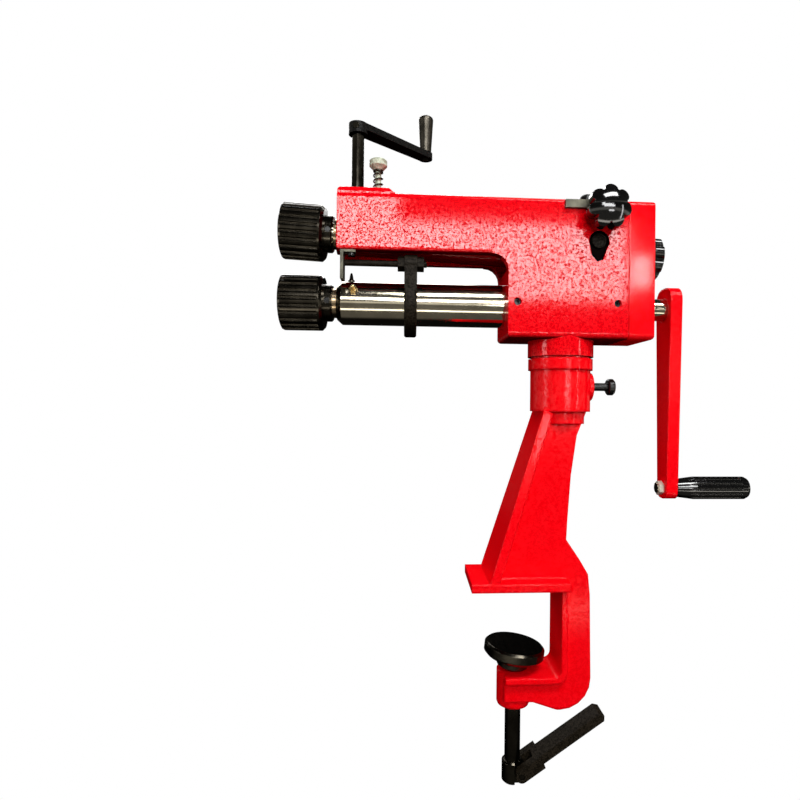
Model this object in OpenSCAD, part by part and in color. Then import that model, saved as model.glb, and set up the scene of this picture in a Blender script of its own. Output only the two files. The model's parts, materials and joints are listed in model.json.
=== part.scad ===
// Hand-cranked bead roller that clamps to a bench edge.
// Origin: middle of the bench jaw's underside, on the clamp screw axis.
// +X runs along the shafts towards the crank, +Z is up, -Y is the operator's side.

/* [Shafts and rollers] */
// height of the lower shaft above the bench face
shaft_height = 275; // [255:1:300]
// distance between the two shafts when the rollers are closed
closed_gap = 55; // [54.6:0.1:55.2]
// diameter of both shafts
shaft_d = 22; // [18:1:24]
// outside diameter of the rollers
roller_d = 54; // [46:1:54]
// length of a roller without its hub
roller_len = 41; // [30:1:50]
// diameter of the roller hub
hub_d = 36; // [32:1:42]
// length of the roller hub
hub_len = 8; // [6:0.1:12]
// number of flutes round a roller
flute_count = 24; // [16:1:28]
// radius of one flute
flute_r = 2.2; // [1.2:0.1:2.6]

/* [Head] */
// distance from the roller to the head, the working throat
throat = 175.7; // [150:0.1:200]
// length of the head along the shafts
head_len = 116; // [108:1:130]
// depth of the head and the arm from front to back
head_depth = 66; // [66:1:74]
// distance from the lower shaft down to the head's underside
head_below = 34; // [32:1:38]
// distance from the lower shaft up to the head's top
head_above = 99.5; // [97:0.5:106]
// distance from the lower shaft up to the arm's lower edge
arm_above = 45; // [44:0.5:47]
// height of the pad on top of the arm's nose above the head top
nose_rise = 5.4; // [3:0.1:10]
// length of the pad on top of the arm's nose
nose_len = 46.6; // [46:0.1:54]
// wall of the head and the arm at the front and the back
side_wall = 10; // [9.5:0.5:11]
// wall of the head at the top
top_wall = 6; // [5:0.5:7]
// radius of the long edges of the head
edge_r = 5; // [3:0.5:7]

/* [Tubes and bushes] */
// outside diameter of the lower tube
tube_d = 42; // [40:1:44]
// outside diameter of the bushes
bush_d = 27; // [26.5:0.5:28]
// length of the front bushes inside their tube
bush_len = 20; // [14:1:30]
// thickness of a bush flange
bush_flange = 4; // [2.5:0.1:5]
// outside diameter of the rocker's housing
housing_d = 38; // [36:1:38]
// tilt of the rocker at rest, in degrees
rest_tilt = 2.8; // [1.5:0.1:2.8]
// height of the rocker's pivot above the closed upper shaft
pivot_lift = 5.5; // [0:0.5:6]
// diameter of the pivot pins
pivot_d = 14; // [10:1:16]

/* [Gears and cover] */
// width of the gears
gear_w = 17; // [12:1:17]
// number of teeth on each gear
teeth = 18; // [16:1:20]
// depth of the gear cover along the shafts
cover_len = 26; // [26:1:32]

/* [Adjusting screw and lift bolt] */
// diameter of the adjusting screw
adjust_d = 12; // [10:1:14]
// height of the adjusting screw's top above the arm's nose
adjust_rise = 71.6; // [66:0.1:90]
// length of the small crank on the adjusting screw
adjust_arm_len = 90.6; // [70:1:110]
// direction of the small crank, in degrees from the crank side
adjust_arm_turn = 41.5; // [20:0.5:80]
// diameter of the small crank's grip
adjust_grip_d = 16.2; // [15:0.2:20]
// length of the small crank's grip
adjust_grip_len = 40; // [30:1:50]
// distance from the adjusting screw to the lift bolt
lift_offset = 20; // [19:0.1:21]
// diameter of the lift bolt's stem
lift_d = 6; // [5:0.5:6]
// diameter of the lift bolt's head
lift_head_d = 17.4; // [12:0.2:18]
// wire diameter of the lift spring
spring_wire = 1.6; // [1:0.1:1.6]
// length of the lift spring at rest
spring_len = 26.6; // [24:0.1:30]

/* [Crank] */
// distance from the shaft to the crank grip
crank_len = 181; // [140:1:200]
// thickness of the crank arm
crank_t = 12; // [10:1:14]
// width of the crank arm at the shaft
crank_hub_w = 35; // [32:1:44]
// height of the crank arm's end above the shaft
crank_above = 22; // [20:1:26]
// width of the crank arm at the grip
crank_tip_w = 21; // [20:1:28]
// length of the crank grip
grip_len = 77; // [60:1:110]
// diameter of the crank grip at its end
grip_d = 23; // [20:1:28]
// free length of the shaft between the gear cover and the crank arm
crank_gap = 23.5; // [20:0.5:34]

/* [Depth gauge] */
// distance from the arm's nose to the gauge plate
gauge_x = 63; // [50:0.5:64]
// thickness of the gauge plate
gauge_t = 12; // [8:1:14]
// diameter of the gauge plate
gauge_d = 64; // [58:1:66]
// diameter of the gauge rod
rod_d = 6; // [5:0.5:8]
// length of the gauge rod
rod_len = 80.5; // [80:0.5:100]
// distance from the middle plane to the gauge rod
rod_y = 22; // [21.5:0.5:22.5]
// height of the gauge rod above the lower shaft
rod_z = 35; // [34:0.5:35.5]

/* [Star knobs] */
// outside diameter of the star knobs
knob_d = 41; // [38:1:44]
// thickness of the star knob on the front
knob_t = 19; // [16:1:24]
// thickness of the star knob on the upper shaft
rear_knob_t = 15.8; // [12:0.1:16]
// number of lobes on a star knob
lobes = 7; // [5:1:9]

/* [Swivel and stand] */
// distance from the clamp screw to the swivel axis
swivel_x = 45; // [43:1:46]
// diameter of the swivel spigot
spigot_d = 40; // [34:1:44]
// diameter of the swivel socket
socket_d = 59.5; // [58:0.5:64]
// distance from the lower shaft down to the socket's bottom
socket_below = 104; // [102:1:108]
// height of the socket
socket_h = 52; // [50:1:54]
// diameter of the swivel lock bolt
lock_bolt_d = 8; // [6:1:10]
// depth of the bench foot from front to back
foot_depth = 70; // [60:1:80]
// thickness of the bench foot
foot_t = 8; // [7:1:12]
// distance from the clamp screw to the free end of the bench foot
foot_reach = 46; // [40:1:50]
// distance from the clamp screw to the clamp's back wall
bench_reach = 43; // [40:1:46]
// clear height of the clamp
clamp_gap = 86.5; // [80:0.5:96]
// depth of the clamp frame from front to back
frame_depth = 48; // [44:1:54]
// thickness of the stand between its rims
web_t = 36; // [24:1:44]

/* [Clamp screw] */
// diameter of the clamp screw
clamp_d = 15.6; // [14:0.1:17]
// diameter of the clamp pad
pad_d = 60; // [50:1:66]
// height of the clamp pad's face below the bench face at rest
pad_drop = 61.5; // [58:0.5:62]
// tilt of the clamp pad at rest, in degrees
pad_tilt = 7; // [0:1:7]
// length of the folding handle
handle_len = 100; // [80:1:130]
// angle of the folding handle above level, in degrees
handle_turn = 34; // [10:1:36]

/* [Hidden] */

$fn = 96;
run_gap = 0.05;      // radial gap of a shaft in its bore
seat_gap = 0.3;      // gap between faces that move past each other
wide_gap = 0.5;      // gap round pieces that only need to clear
press_gap = 0.02;    // radial gap of a piece that is held fast
eps = 0.5;           // overlap of a cut past its face

shaft_r = shaft_d / 2;
bush_r = bush_d / 2;
tube_r = tube_d / 2;
housing_r = housing_d / 2;
half = head_depth / 2;
cavity_y = half - side_wall;
head_bottom = shaft_height - head_below;
head_top = shaft_height + head_above;
arm_bottom = shaft_height + arm_above;
cavity_top = head_top - top_wall;
nose_top = head_top + nose_rise;

head_x1 = 102;
head_x0 = head_x1 - head_len;
roller_back = head_x0 - throat;
roller_front = roller_back - roller_len;
shaft_tip = roller_front + 1;
hub_back = roller_back + hub_len;
bush_face = hub_back + seat_gap;
tube_x0 = bush_face + bush_flange;
tube_x1 = head_x1 - 4;
arm_x0 = tube_x0 + 2.3;
cover_x1 = head_x1 + cover_len;
cover_wall = 4;

front_nipple_x = tube_x0 + 16.8;
top_nipple_x = tube_x0 + 13.2;
nipple_turn = 27;

pivot_x = 74;
upper_z = shaft_height + closed_gap;
pivot_z = upper_z + pivot_lift;

rear_flange = 3;
gear_x0 = tube_x1 + rear_flange + seat_gap + 2.7;
gear_x1 = gear_x0 + gear_w;
pitch_r = (closed_gap - 1) / 2;
gear_tip = pitch_r + 1.4;
gear_root = pitch_r - 3.1;
gear_hub_r = shaft_r + 4;
key_w = 6;
key_h = 5.5;
key_floor = shaft_r - 3;

sleeve_end = cover_x1 + 5;
knob_front = cover_x1 + 1.6;
knob_hub = 3;
tail_r = shaft_r - 3;
tail_end = sleeve_end + 10;

adjust_x = arm_x0 + 16;
adjust_top = nose_top + adjust_rise;
lift_x = adjust_x + lift_offset;
seat_rise = housing_r - 2;
slot_floor = bush_r + 0.5;
slot_h = 4.6;
slot_top = slot_floor + slot_h;
lift_boss = slot_top + 3.4;
foot_pad_r = 7;

// height that a point on the rocker has at rest, from its closed place
function rest_x(x, z) = pivot_x + (x - pivot_x) * cos(rest_tilt) + (z - pivot_z) * sin(rest_tilt);
function rest_z(x, z) = pivot_z - (x - pivot_x) * sin(rest_tilt) + (z - pivot_z) * cos(rest_tilt);

thrust_low = rest_z(adjust_x, upper_z + seat_rise) + 0.35;
thrust_top = thrust_low + 5;
lift_mid = rest_z(lift_x, upper_z + slot_floor + slot_h / 2);
lift_foot_h = 3;
lift_head_h = 10;
spring_low = nose_top + 0.2;
lift_head_z = spring_low + spring_len + 0.2;

adjust_hub_r = adjust_d / 2 + 3.2;
adjust_hub_h = 10.5;
adjust_arm_t = 6.5;
adjust_pin_z = adjust_top - 4.6;
adjust_pin_turn = -8;

pocket_depth = 6;
lock_x = pivot_x + 2.4;
lock_z = upper_z + 31;
lock_d = 10;
bar_t = 4;
bar_left = 37;
plug_x = pivot_x - 9.5;
plug_y = -half + 13;

crank_x0 = cover_x1 + crank_gap;
crank_x1 = crank_x0 + crank_t;
grip_z = shaft_height - crank_len;
spindle_r = 5;
nut_proud = 5;
grip_x0 = crank_x1 + seat_gap;
grip_x1 = grip_x0 + grip_len;

gauge_x0 = arm_x0 + gauge_x;
rod_height = shaft_height + rod_z;
bracket_x = arm_x0 + 3.5;
bracket_t = 3;
bracket_foot_t = 2.5;
rod_x0 = bracket_x;
rod_x1 = rod_x0 + rod_len;
nut_t = 6.4;
nut_d = 14.6;

boss_drop = 16;
boss_low = head_bottom - boss_drop;
socket_bottom = shaft_height - socket_below;
socket_top = socket_bottom + socket_h;
socket_r = socket_d / 2;
spigot_r = spigot_d / 2;
spigot_low = socket_bottom + 4 + seat_gap;
lock_bolt_z = socket_bottom + 25;
flange_h = 11;
neck_r = 22;

lower_jaw_t = 33.5;
lower_jaw_z = -clamp_gap;
frame_x1 = bench_reach + 31;
boss_r = 16.4;
boss_end = lower_jaw_z - 34.5;
pad_t = 12;
pad_hub_r = 15.5;
pad_hub_low = lower_jaw_z + wide_gap;
ball_r = 8.5;
ball_z = -pad_drop - pad_t - 1.5;
ball_cut = 5;
screw_nose_r = 4.5;
hinge_x = 7.5;
hinge_z = boss_end - 66;
collar_r = 10.4;
collar_up = 10.5;
collar_down = 11;
tongue_r = 6.5;
tongue_t = 11;
hinge_pin_r = 3;
fork_gap = 0.3;
fork_cheek = 9;
fork_r = 6;
fork_len = 24;

// outer lines of the stand's column, from the foot up and down to the clamp
left_line = [
    [-foot_reach + 17, foot_t - 1], [-foot_reach + 21, foot_t + 12],
    [swivel_x - neck_r, socket_bottom + 1]];
right_line = [
    [swivel_x + neck_r, socket_bottom + 1], [swivel_x + 12.5, socket_bottom - 23],
    [swivel_x + 7, socket_bottom - 62], [swivel_x + 4, socket_bottom - 105],
    [bench_reach + 5, foot_t + 38], [bench_reach + 18, foot_t + 19], [bench_reach + 27, foot_t + 4],
    [frame_x1 - 2, -8]];

red = [0.72, 0.05, 0.06];
black = [0.06, 0.06, 0.07];
steel = [0.72, 0.72, 0.73];
oxide = [0.16, 0.16, 0.18];
zinc = [0.80, 0.80, 0.78];
brass = [0.80, 0.62, 0.28];
bronze = [0.70, 0.52, 0.30];
plastic = [0.04, 0.04, 0.05];

// ---------- shared shapes ----------

function unit(v) = v / norm(v);

// points of one rounded corner of an outline
function corner(a, b, c, r, n) =
    let (u = unit(a - b), w = unit(c - b),
         bend = acos(u * w) / 2,
         middle = b + unit(u + w) * r / sin(bend),
         p0 = b + u * r / tan(bend),
         p1 = b + w * r / tan(bend),
         a0 = atan2(p0.y - middle.y, p0.x - middle.x),
         a1 = atan2(p1.y - middle.y, p1.x - middle.x),
         turn = ((a1 - a0 + 540) % 360) - 180)
    [for (i = [0 : n]) middle + r * [cos(a0 + turn * i / n), sin(a0 + turn * i / n)]];

// an outline whose corners have the radii given in the third column
function rounded(pts, n = 5) =
    [for (i = [0 : len(pts) - 1])
        let (a = pts[(i + len(pts) - 1) % len(pts)], b = pts[i], c = pts[(i + 1) % len(pts)])
        each b[2] > 0
            ? corner([a[0], a[1]], [b[0], b[1]], [c[0], c[1]], b[2], n)
            : [[b[0], b[1]]]];

// a round bar along X
module bar_x(x0, x1, r, z = 0, y = 0) {
    translate([x0, y, z]) rotate([0, 90, 0]) cylinder(r = r, h = x1 - x0);
}

// a round bar along Y
module bar_y(y0, y1, r, x = 0, z = 0) {
    translate([x, y0, z]) rotate([-90, 0, 0]) cylinder(r = r, h = y1 - y0);
}

// a round bar along Z
module bar_z(z0, z1, r, x = 0, y = 0) {
    translate([x, y, z0]) cylinder(r = r, h = z1 - z0);
}

// a box from its two corners
module box(a, b) {
    translate(a) cube(b - a);
}

// an outline in X and Z, given a thickness across Y
module across_y(pts, y0, y1) {
    translate([0, y1, 0]) rotate([90, 0, 0]) linear_extrude(y1 - y0) polygon(pts);
}

// an outline in Y and Z, given a length along X
module along_x(pts, x0, x1) {
    translate([x0, 0, 0]) rotate([90, 0, 90]) linear_extrude(x1 - x0) polygon(pts);
}

// pieces that ride on the rocker, drawn in its closed place
module on_rocker() {
    translate([pivot_x, 0, pivot_z])
        rotate([0, rest_tilt, 0])
            translate([-pivot_x, 0, -pivot_z])
                children();
}

// a profile turned about X, its points given as distance along X and radius
module turned_x(pts) {
    rotate([0, 90, 0]) rotate_extrude() polygon([for (p = pts) [p[1], p[0]]]);
}

// a fluted roller with its hub, front face at x = 0
module roller_body() {
    edge = 2.5;
    back_edge = 2.5;
    plain_len = 4.5;
    r = roller_d / 2;
    difference() {
        turned_x([
            [0, shaft_r + run_gap], [0, r - edge], [edge * 0.3, r - edge * 0.3], [edge, r],
            [roller_len - back_edge, r], [roller_len, r - back_edge],
            [roller_len, hub_d / 2], [roller_len + hub_len - 1.2, hub_d / 2],
            [roller_len + hub_len, hub_d / 2 - 1.2], [roller_len + hub_len, shaft_r + run_gap]]);
        for (i = [0 : flute_count - 1])
            rotate([i * 360 / flute_count, 0, 0])
                bar_x(-eps, roller_len - plain_len, flute_r, 0, r + flute_r * 0.28);
        translate([roller_len + hub_len / 2, 0, 0]) bar_y(-hub_d, 0, 3);
    }
}

// the grub screw of a roller hub
module roller_grub() {
    translate([roller_len + hub_len / 2, 0, 0])
        bar_y(-hub_d / 2 + 1, -shaft_r - press_gap, 3 - press_gap);
}

// a flanged bush, flange face at x = 0
module bush(flange, length, flange_r) {
    turned_x([[0, shaft_r + run_gap], [0, flange_r], [flange, flange_r], [flange, bush_r],
        [flange + length, bush_r], [flange + length, shaft_r + run_gap]]);
}

// one gear with straight-sided teeth, from x = 0
module gear_teeth(phase) {
    step = 360 / teeth;
    half_root = step * 0.27;
    half_tip = step * 0.115;
    pts = [for (i = [0 : teeth - 1])
        let (a = i * step + phase)
        each [
            gear_root * [cos(a - half_root), sin(a - half_root)],
            gear_tip * [cos(a - half_tip), sin(a - half_tip)],
            gear_tip * [cos(a + half_tip), sin(a + half_tip)],
            gear_root * [cos(a + half_root), sin(a + half_root)]]];
    along_x(pts, 0, gear_w);
}

// keyway cut above the shaft's middle, from x0 to x1
module keyway(x0, x1) {
    box([x0, -key_w / 2 - press_gap, key_floor - press_gap],
        [x1, key_w / 2 + press_gap, key_floor + key_h + press_gap]);
}

// a star knob along +Z, seat at z = 0, the first lobe at the given angle
module star_knob(hub_r, hub_h, t, turn, dome_r) {
    r = knob_d / 2;
    lobe_r = r * 0.29;
    union() {
        bar_z(0, hub_h + 1, hub_r);
        translate([0, 0, hub_h])
            intersection() {
                linear_extrude(t)
                    union() {
                        circle(r = r * 0.75);
                        for (i = [0 : lobes - 1])
                            rotate(turn + i * 360 / lobes) translate([r - lobe_r, 0]) circle(r = lobe_r);
                    }
                rotate_extrude()
                    polygon([[0, 0], [r * 0.9, 0], [r + 0.5, 2.5], [r + 0.5, t], [0, t]]);
                translate([0, 0, t - dome_r]) sphere(r = dome_r);
            }
    }
}

// ---------- stand and bench clamp ----------

// a strip of even width that follows an open line, on its left side
function strip(line, w) =
    let (n = len(line) - 1,
         side = [for (i = [0 : n])
            let (d0 = i > 0 ? unit(line[i] - line[i - 1]) : unit(line[1] - line[0]),
                 d1 = i < n ? unit(line[i + 1] - line[i]) : unit(line[n] - line[n - 1]),
                 m = unit(d0 + d1))
            line[i] + [-m.y, m.x] * w / (m * d0)])
    concat(line, [for (i = [n : -1 : 0]) side[i]]);

module clamp_stand() {
    flange_t = 9;
    rim = 6;
    bottom_z = lower_jaw_z - lower_jaw_t;
    foot_y = foot_depth / 2;
    frame_y = frame_depth / 2;
    jaw_x0 = -boss_r + 5;
    web = concat(
        [for (p = left_line) [p.x, p.y, 0]],
        [for (p = right_line) [p.x, p.y, 0]],
        [[frame_x1, bottom_z, 30], [frame_x1 - 34, bottom_z, 12], [boss_r, bottom_z + 8, 0],
         [jaw_x0, bottom_z + 8, 0], [jaw_x0, lower_jaw_z, 0], [bench_reach, lower_jaw_z, 7],
         [bench_reach, 0, 7], [-foot_reach + 17, 0, 0]]);
    color(red)
    difference() {
        union() {
            across_y(rounded(web), -web_t / 2, web_t / 2);
            intersection() {
                across_y(strip(left_line, -flange_t), -foot_y, foot_y);
                along_x([[-foot_y, 0], [foot_y, 0], [26, socket_bottom + 3], [-26, socket_bottom + 3]],
                    -foot_reach, swivel_x);
            }
            box([-foot_reach, -foot_y, 0], [bench_reach + rim, foot_y, foot_t]);
            across_y(rounded([[bench_reach, foot_t, 0], [bench_reach, lower_jaw_z, 7], [jaw_x0, lower_jaw_z, 0],
                [jaw_x0, lower_jaw_z - rim, 0], [bench_reach + rim, lower_jaw_z - rim, 10],
                [bench_reach + rim, foot_t, 0]]), -frame_y, frame_y);
            translate([0, 0, boss_end])
                rotate_extrude()
                    polygon([[0, 0], [boss_r - 3, 0], [boss_r - 0.8, 1], [boss_r, 3],
                        [boss_r, lower_jaw_z - boss_end], [0, lower_jaw_z - boss_end]]);
            bar_z(socket_bottom, socket_top, socket_r, swivel_x);
            bar_z(socket_top - flange_h, socket_top, socket_r + 2.2, swivel_x);
            bar_z(socket_bottom - 12, socket_bottom + 3, neck_r + 2, swivel_x);
            bar_x(swivel_x + spigot_r + 4, swivel_x + socket_r + 1.3, 14, lock_bolt_z);
        }
        bar_z(socket_bottom + 4, socket_top + eps, spigot_r + run_gap, swivel_x);
        bar_z(boss_end - eps, lower_jaw_z + eps, clamp_d / 2 + run_gap);
        bar_x(swivel_x + spigot_r - 2, swivel_x + socket_r + 4, lock_bolt_d / 2 + run_gap, lock_bolt_z);
    }
}

module swivel_lock_bolt() {
    tip = swivel_x + spigot_r + seat_gap;
    head = swivel_x + socket_r + 18.5;
    head_h = 7;
    head_r = 8.3;
    color(black)
    union() {
        bar_x(tip, head + 1, lock_bolt_d / 2, lock_bolt_z);
        translate([0, 0, lock_bolt_z])
            difference() {
                turned_x([[head, 0], [head, head_r - 1.2], [head + 1.2, head_r],
                    [head + head_h - 1.5, head_r], [head + head_h, head_r - 1.5], [head + head_h, 0]]);
                translate([head + 3, 0, 0]) rotate([0, 90, 0]) cylinder(d = 9, h = head_h, $fn = 6);
            }
    }
}

module clamp_pad() {
    r = pad_d / 2;
    hub_low = pad_hub_low - ball_z + 2.5;
    face = -pad_drop - ball_z;
    lip = ball_cut - 0.2;
    color(oxide)
    translate([0, 0, ball_z])
        rotate([0, pad_tilt, 0])
            difference() {
                rotate_extrude()
                    polygon([[0, face], [r - 2, face], [r, face - 2], [r, face - pad_t + 3],
                        [r - 3, face - pad_t], [pad_hub_r, face - pad_t - 1.5],
                        [pad_hub_r, hub_low + 1], [pad_hub_r - 1, hub_low], [0, hub_low]]);
                sphere(r = ball_r + seat_gap);
                bar_z(hub_low - 1, -lip, 10.6);
            }
}

module clamp_ball() {
    color(steel)
    difference() {
        intersection() {
            translate([0, 0, ball_z]) sphere(r = ball_r);
            bar_z(ball_z - ball_cut, ball_z + 7, ball_r + 1);
        }
        bar_z(ball_z - ball_cut - 1, ball_z + 4 + seat_gap, screw_nose_r + run_gap);
    }
}

module clamp_screw() {
    shank_top = ball_z - ball_cut - 2;
    low = hinge_z - collar_down;
    high = hinge_z + collar_up;
    color(black)
    difference() {
        union() {
            bar_z(shank_top - 1, ball_z + 4, screw_nose_r);
            bar_z(high - 1, shank_top, clamp_d / 2);
            translate([0, 0, low])
                rotate_extrude()
                    polygon([[0, 0], [collar_r - 1.5, 0], [collar_r, 1.5], [collar_r, high - low - 1.5],
                        [collar_r - 1.5, high - low], [0, high - low]]);
            bar_y(-tongue_t / 2, tongue_t / 2, tongue_r, hinge_x, hinge_z);
        }
        for (y = [-collar_r - 1, tongue_t / 2])
            box([1, y, low - 1], [collar_r + 1, y + collar_r + 1 - tongue_t / 2, high]);
        bar_y(-tongue_t, tongue_t, hinge_pin_r + run_gap, hinge_x, hinge_z);
    }
}

// the folding handle with its fork, hinge on the origin and pointing along +X
module lever() {
    cheek_in = tongue_t / 2 + fork_gap;
    cheek_out = cheek_in + fork_cheek;
    bar_y0 = -cheek_out + 4;
    bar_h = 4.3;
    difference() {
        union() {
            bar_y(-cheek_out, cheek_out, fork_r);
            box([0, -cheek_out, -fork_r], [fork_len, cheek_out, fork_r]);
            across_y([[fork_len - 1, -bar_h], [handle_len - 3, -bar_h], [handle_len, 0],
                [handle_len - 4, bar_h], [fork_len - 1, bar_h]], bar_y0, -bar_y0);
        }
        box([-fork_r - 1, -cheek_in, -fork_r - 1], [fork_len - 6, cheek_in, fork_r + 1]);
        bar_y(-cheek_out - 1, cheek_out + 1, hinge_pin_r + press_gap);
    }
}

module clamp_handle() {
    color(oxide) translate([hinge_x, 0, hinge_z]) rotate([0, -handle_turn, 0]) lever();
}

module clamp_handle_pin() {
    cheek_out = tongue_t / 2 + fork_gap + fork_cheek;
    color(steel) bar_y(-cheek_out + 1, cheek_out - 1, hinge_pin_r, hinge_x, hinge_z);
}

// ---------- head ----------

// the head's outline seen along the shafts, drawn in by the given depth
function head_outline(inset) =
    rounded([[-half + inset, head_bottom + inset, edge_r], [half - inset, head_bottom + inset, edge_r],
        [half - inset, head_top - inset, edge_r], [-half + inset, head_top - inset, edge_r]]);

// the long pocket that the front pivot pin ends in
module along_pocket(y0, y1) {
    r = 10;
    bar_y(y0, y1, r, pivot_x - 0.8, pivot_z - 1.2);
    across_y([[pivot_x - r - 0.2, pivot_z - 3], [pivot_x + r - 1.4, pivot_z - 3],
        [pivot_x + 3, pivot_z - 19], [pivot_x - 2.5, pivot_z - 21], [pivot_x - 8, pivot_z - 15]], y0, y1);
}

module head_casting() {
    box_r = edge_r;
    nose_x1 = arm_x0 + nose_len;
    color(red)
    difference() {
        union() {
            intersection() {
                across_y(rounded([[head_x0, head_bottom, 4], [head_x1, head_bottom, 0],
                    [head_x1, head_top, 0], [head_x0, head_top, 0]]), -half, half);
                along_x(rounded([[-half, head_bottom, box_r], [half, head_bottom, box_r],
                    [half, head_top, box_r], [-half, head_top, box_r]]), head_x0 - 1, head_x1 + 1);
            }
            intersection() {
                across_y(rounded([[arm_x0, arm_bottom, 3], [head_x0, arm_bottom, 15],
                    [head_x0, arm_bottom - 40, 0], [head_x0 + 10, arm_bottom - 40, 0],
                    [head_x0 + 10, head_top, 0], [nose_x1 + 6, head_top, 3],
                    [nose_x1, nose_top, 3], [arm_x0, nose_top, 6]]), -half, half);
                union() {
                    along_x(rounded([[-half, arm_bottom, 3], [half, arm_bottom, 3],
                        [half, head_top, box_r], [-half, head_top, box_r]]), arm_x0 - 1, head_x0 + 12);
                    along_x(rounded([[-half + 1, head_top - 12, 0], [half - 1, head_top - 12, 0],
                        [half - 1, nose_top, 5], [-half + 1, nose_top, 5]]), arm_x0 - 1, nose_x1 + 7);
                    box([head_x0 - 16, -half, arm_bottom - 41], [head_x0 + 11, half, arm_bottom + 4]);
                }
            }
            bar_z(boss_low, head_bottom + 3, half - 0.5, swivel_x);
            bar_z(socket_top + seat_gap, boss_low + 1, socket_r - 0.5, swivel_x);
            bar_z(spigot_low, boss_low + 1, spigot_r, swivel_x);
        }
        box([arm_x0 - eps, -cavity_y, shaft_height + tube_r + 10], [head_x1 + eps, cavity_y, cavity_top]);
        box([arm_x0 - eps, -cavity_y, shaft_height - tube_r], [head_x0 - eps, cavity_y, cavity_top - 5]);
        bar_x(head_x0 - eps, head_x1 + eps, tube_r + press_gap, shaft_height);
        for (x = [head_x0 + 9, head_x1 - 10])
            bar_y(-half - eps, -tube_r + 2, 3.5, x, shaft_height);
        bar_z(cavity_top - eps, nose_top + eps, adjust_d / 2 + run_gap, adjust_x);
        bar_z(cavity_top - eps, nose_top + eps, lift_d / 2 + wide_gap, lift_x);
        bar_z(cavity_top - eps, head_top + eps, 4 + press_gap, plug_x, plug_y);
        along_pocket(-half - eps, -half + pocket_depth);
        bar_y(-half - eps, half + eps, pivot_d / 2 + press_gap, pivot_x, pivot_z);
        bar_y(-half - eps, -cavity_y + eps, lock_d / 2 + run_gap, lock_x, lock_z);
        bar_z(arm_bottom - eps, arm_bottom + 9, 2 + press_gap, bracket_x + 10, -half + 4.5);
        for (y = [-half + 6.5, half - 6.5])
            for (z = [head_bottom + 7.5, cavity_top - 4])
                bar_x(head_x1 - 13, head_x1 + eps, 2.5 + press_gap, z, y);
    }
}

module lower_tube() {
    color(steel)
    translate([0, 0, shaft_height])
    difference() {
        turned_x([[tube_x0, bush_r], [tube_x0, tube_r - 4.5], [tube_x0 + 5, tube_r],
            [tube_x1, tube_r], [tube_x1, bush_r]]);
        translate([front_nipple_x, 0, 0])
            rotate([-nipple_turn, 0, 0]) bar_y(-tube_r - 1, -bush_r + 1, 2.5);
        bar_z(bush_r - 1, tube_r + 1, 2.5, top_nipple_x);
    }
}

module tube_set_screws() {
    color(black)
    for (x = [head_x0 + 9, head_x1 - 10])
        difference() {
            bar_y(-half + 4, -tube_r - press_gap, 3.5 - press_gap, x, shaft_height);
            translate([x, -half + 4 - eps, shaft_height]) rotate([-90, 0, 0]) cylinder(d = 4.6, h = 4, $fn = 6);
        }
}

module front_grease_nipple() {
    color(brass)
    translate([front_nipple_x, 0, shaft_height])
        rotate([-nipple_turn, 0, 0])
            union() {
                bar_y(-tube_r - 1, -tube_r + 4, 2.5 - press_gap);
                translate([0, -tube_r - 0.1, 0]) rotate([90, 0, 0]) cylinder(d = 8.4, h = 3.4, $fn = 6);
                bar_y(-tube_r - 6, -tube_r - 3, 1.5);
                translate([0, -tube_r - 6, 0]) sphere(r = 2.1);
            }
}

module top_grease_nipple() {
    color(oxide)
    translate([top_nipple_x, 0, shaft_height])
        union() {
            bar_z(tube_r - 4, tube_r + 1, 2.5 - press_gap);
            translate([0, 0, tube_r + 0.1])
                rotate_extrude()
                    polygon([[0, 0], [3.4, 0], [3.4, 1.2], [2, 3], [1.5, 6.2], [0.9, 8.6], [0, 9.2]]);
        }
}

module lower_front_bush() {
    color(bronze) translate([bush_face, 0, shaft_height]) bush(bush_flange, bush_len, bush_r + 0.9);
}

module lower_rear_bush() {
    color(bronze)
    translate([tube_x1 + rear_flange, 0, shaft_height]) rotate([0, 0, 180]) bush(rear_flange, 24, bush_r + 3);
}

module pivot_pins() {
    r = pivot_d / 2;
    pin_in = shaft_r + 3.2;
    color(oxide)
    union() {
        difference() {
            bar_y(-half + 2.5, -pin_in, r, pivot_x, pivot_z);
            bar_y(-half + 2, -half + 4, r - 1.6, pivot_x, pivot_z);
        }
        bar_y(pin_in, half - 1, r, pivot_x, pivot_z);
    }
}

module gear_cover() {
    mid_z = (rest_z(gear_x0 + 9, upper_z) + upper_z) / 2;
    seam_w = 1;
    color(red)
    difference() {
        intersection() {
            union() {
                along_x(head_outline(0.8), head_x1, head_x1 + seam_w);
                along_x(head_outline(0), head_x1 + seam_w, cover_x1);
            }
            across_y(rounded([[head_x1, head_bottom, 0], [cover_x1, head_bottom, 3],
                [cover_x1, head_top, 3], [head_x1, head_top, 0]]), -half, half);
        }
        bar_x(head_x1 - eps, cover_x1 - cover_wall, gear_tip + 0.9, shaft_height);
        bar_x(head_x1 - eps, cover_x1 - cover_wall, gear_tip + 1.8, mid_z);
        box([head_x1 - eps, -gear_tip + 6, shaft_height], [cover_x1 - cover_wall, gear_tip - 6, mid_z]);
        bar_x(head_x1, cover_x1 + eps, shaft_r + 1, shaft_height);
        bar_x(head_x1, cover_x1 + eps, gear_hub_r + 2.8, (rest_z(cover_x1, upper_z) + upper_z) / 2);
        for (y = [-half + 6.5, half - 6.5])
            for (z = [head_bottom + 7.5, cavity_top - 4]) {
                bar_x(head_x1 - eps, cover_x1 + eps, 2.7, z, y);
                bar_x(cover_x1 - 5.4, cover_x1 + eps, 4.5, z, y);
            }
    }
}

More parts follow.
